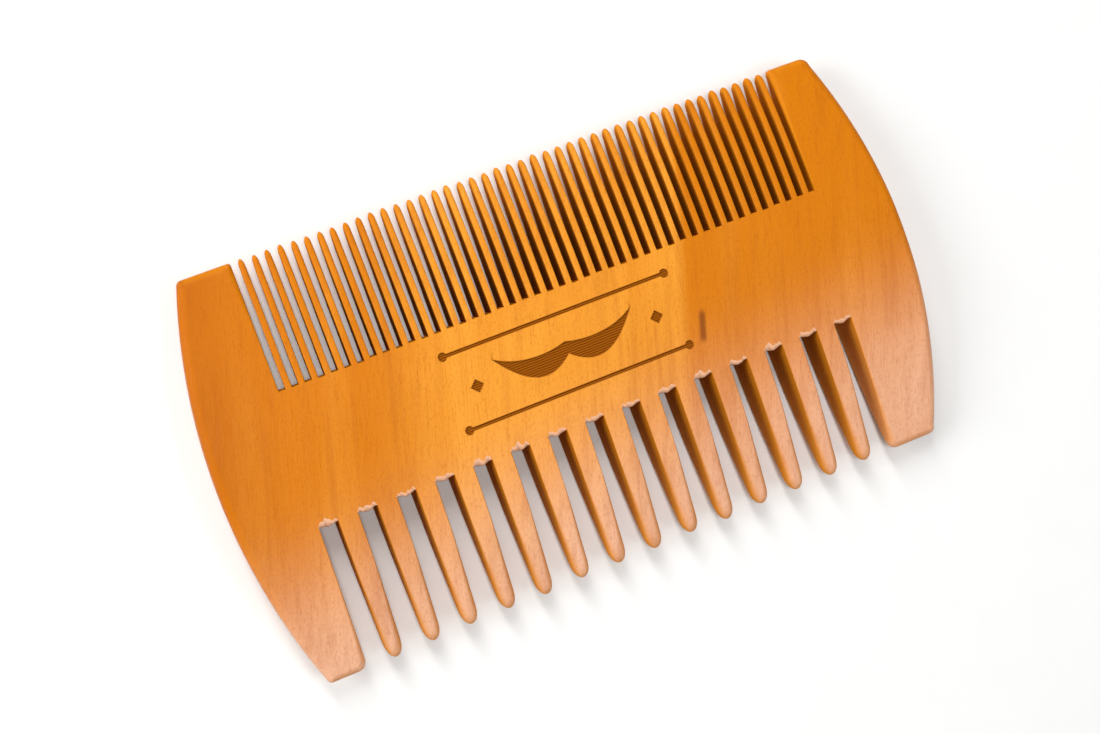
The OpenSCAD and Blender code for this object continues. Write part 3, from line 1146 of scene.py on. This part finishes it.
def build_stage(settings):
    """Floor, lights and camera."""
    sizes = settings.stage
    half = sizes.floor_side / 2
    corners = [(-half, -half), (half, -half), (half, half), (-half, half)]
    vertices = np.array([(x, y, -FLOOR_GAP) for x, y in corners])
    floor = new_piece("floor", vertices, [(0, 1, 2, 3)], {}, matt_paper())

    world = bpy.data.worlds.new("studio")
    bpy.context.scene.world = world
    world.use_nodes = True
    sky = world.node_tree.nodes["Background"]
    sky.inputs["Color"].default_value = (1.0, 1.0, 1.0, 1.0)
    sky.inputs["Strength"].default_value = sizes.sky
    for name, (place, width, height) in LAMPS.items():
        softbox(name + "_light", place, width, height, getattr(sizes, name))
    bpy.context.scene.view_settings.view_transform = "Standard"

    camera_data = bpy.data.cameras.new("camera")
    camera_data.sensor_width = SENSOR_WIDTH
    camera_data.lens = FOCAL_LENGTH
    camera_data.clip_start = 10 * MM
    camera = bpy.data.objects.new("camera", camera_data)
    camera.location = CAMERA_PLACE
    camera.rotation_euler = [math.radians(angle) for angle in CAMERA_TURN]
    bpy.context.scene.collection.objects.link(camera)
    bpy.context.scene.camera = camera


# ---- operators and panel


class BEARDCOMB_OT_stage(bpy.types.Operator):
    """Builds the floor, the lights and the camera"""

    bl_idname = "beardcomb.stage"
    bl_label = "Stage"

    def execute(self, context):
        build_stage(context.scene.beard_comb)
        return {"FINISHED"}


class BEARDCOMB_OT_board(bpy.types.Operator):
    """Builds the board with its guards and the burnt emblem"""

    bl_idname = "beardcomb.board"
    bl_label = "Board"

    def execute(self, context):
        board = comb_board(context.scene.beard_comb)
        settle(board, ["spine", "left_guard", "right_guard"])
        return {"FINISHED"}


class BEARDCOMB_OT_fine_teeth(bpy.types.Operator):
    """Builds the row of fine teeth"""

    bl_idname = "beardcomb.fine_teeth"
    bl_label = "Fine Teeth"

    def execute(self, context):
        settle(fine_teeth(context.scene.beard_comb), FINE_TEETH)
        return {"FINISHED"}


class BEARDCOMB_OT_coarse_teeth(bpy.types.Operator):
    """Builds the row of coarse teeth"""

    bl_idname = "beardcomb.coarse_teeth"
    bl_label = "Coarse Teeth"

    def execute(self, context):
        settle(coarse_teeth(context.scene.beard_comb), COARSE_TEETH)
        return {"FINISHED"}


class BEARDCOMB_PT_panel(bpy.types.Panel):
    """Lists the comb's sizes, colours and pieces"""

    bl_idname = "BEARDCOMB_PT_panel"
    bl_label = "Beard Comb"
    bl_space_type = "VIEW_3D"
    bl_region_type = "UI"
    bl_category = "Beard Comb"

    def draw(self, context):
        settings = context.scene.beard_comb
        for group in ("board", "fine", "coarse", "wood", "stage"):
            sizes = getattr(settings, group)
            column = self.layout.column()
            column.label(text=group.capitalize())
            for name in sizes.__annotations__:
                column.prop(sizes, name)
        for operator in OPERATORS:
            self.layout.operator(operator.bl_idname)


OPERATORS = (BEARDCOMB_OT_stage, BEARDCOMB_OT_board, BEARDCOMB_OT_fine_teeth,
             BEARDCOMB_OT_coarse_teeth)
CLASSES = (BoardSizes, FineToothSizes, CoarseToothSizes, WoodColours, StageSizes, BeardComb,
           *OPERATORS, BEARDCOMB_PT_panel)


def register():
    """Registers the classes and their settings."""
    for each in CLASSES:
        bpy.utils.register_class(each)
    bpy.types.Scene.beard_comb = bpy.props.PointerProperty(type=BeardComb)


def unregister():
    """Removes the settings and the classes."""
    del bpy.types.Scene.beard_comb
    for each in reversed(CLASSES):
        bpy.utils.unregister_class(each)


def main():
    """Builds the comb and its stage."""
    register()
    bpy.ops.beardcomb.stage()
    bpy.ops.beardcomb.board()
    bpy.ops.beardcomb.fine_teeth()
    bpy.ops.beardcomb.coarse_teeth()


if __name__ == "__main__":
    main()
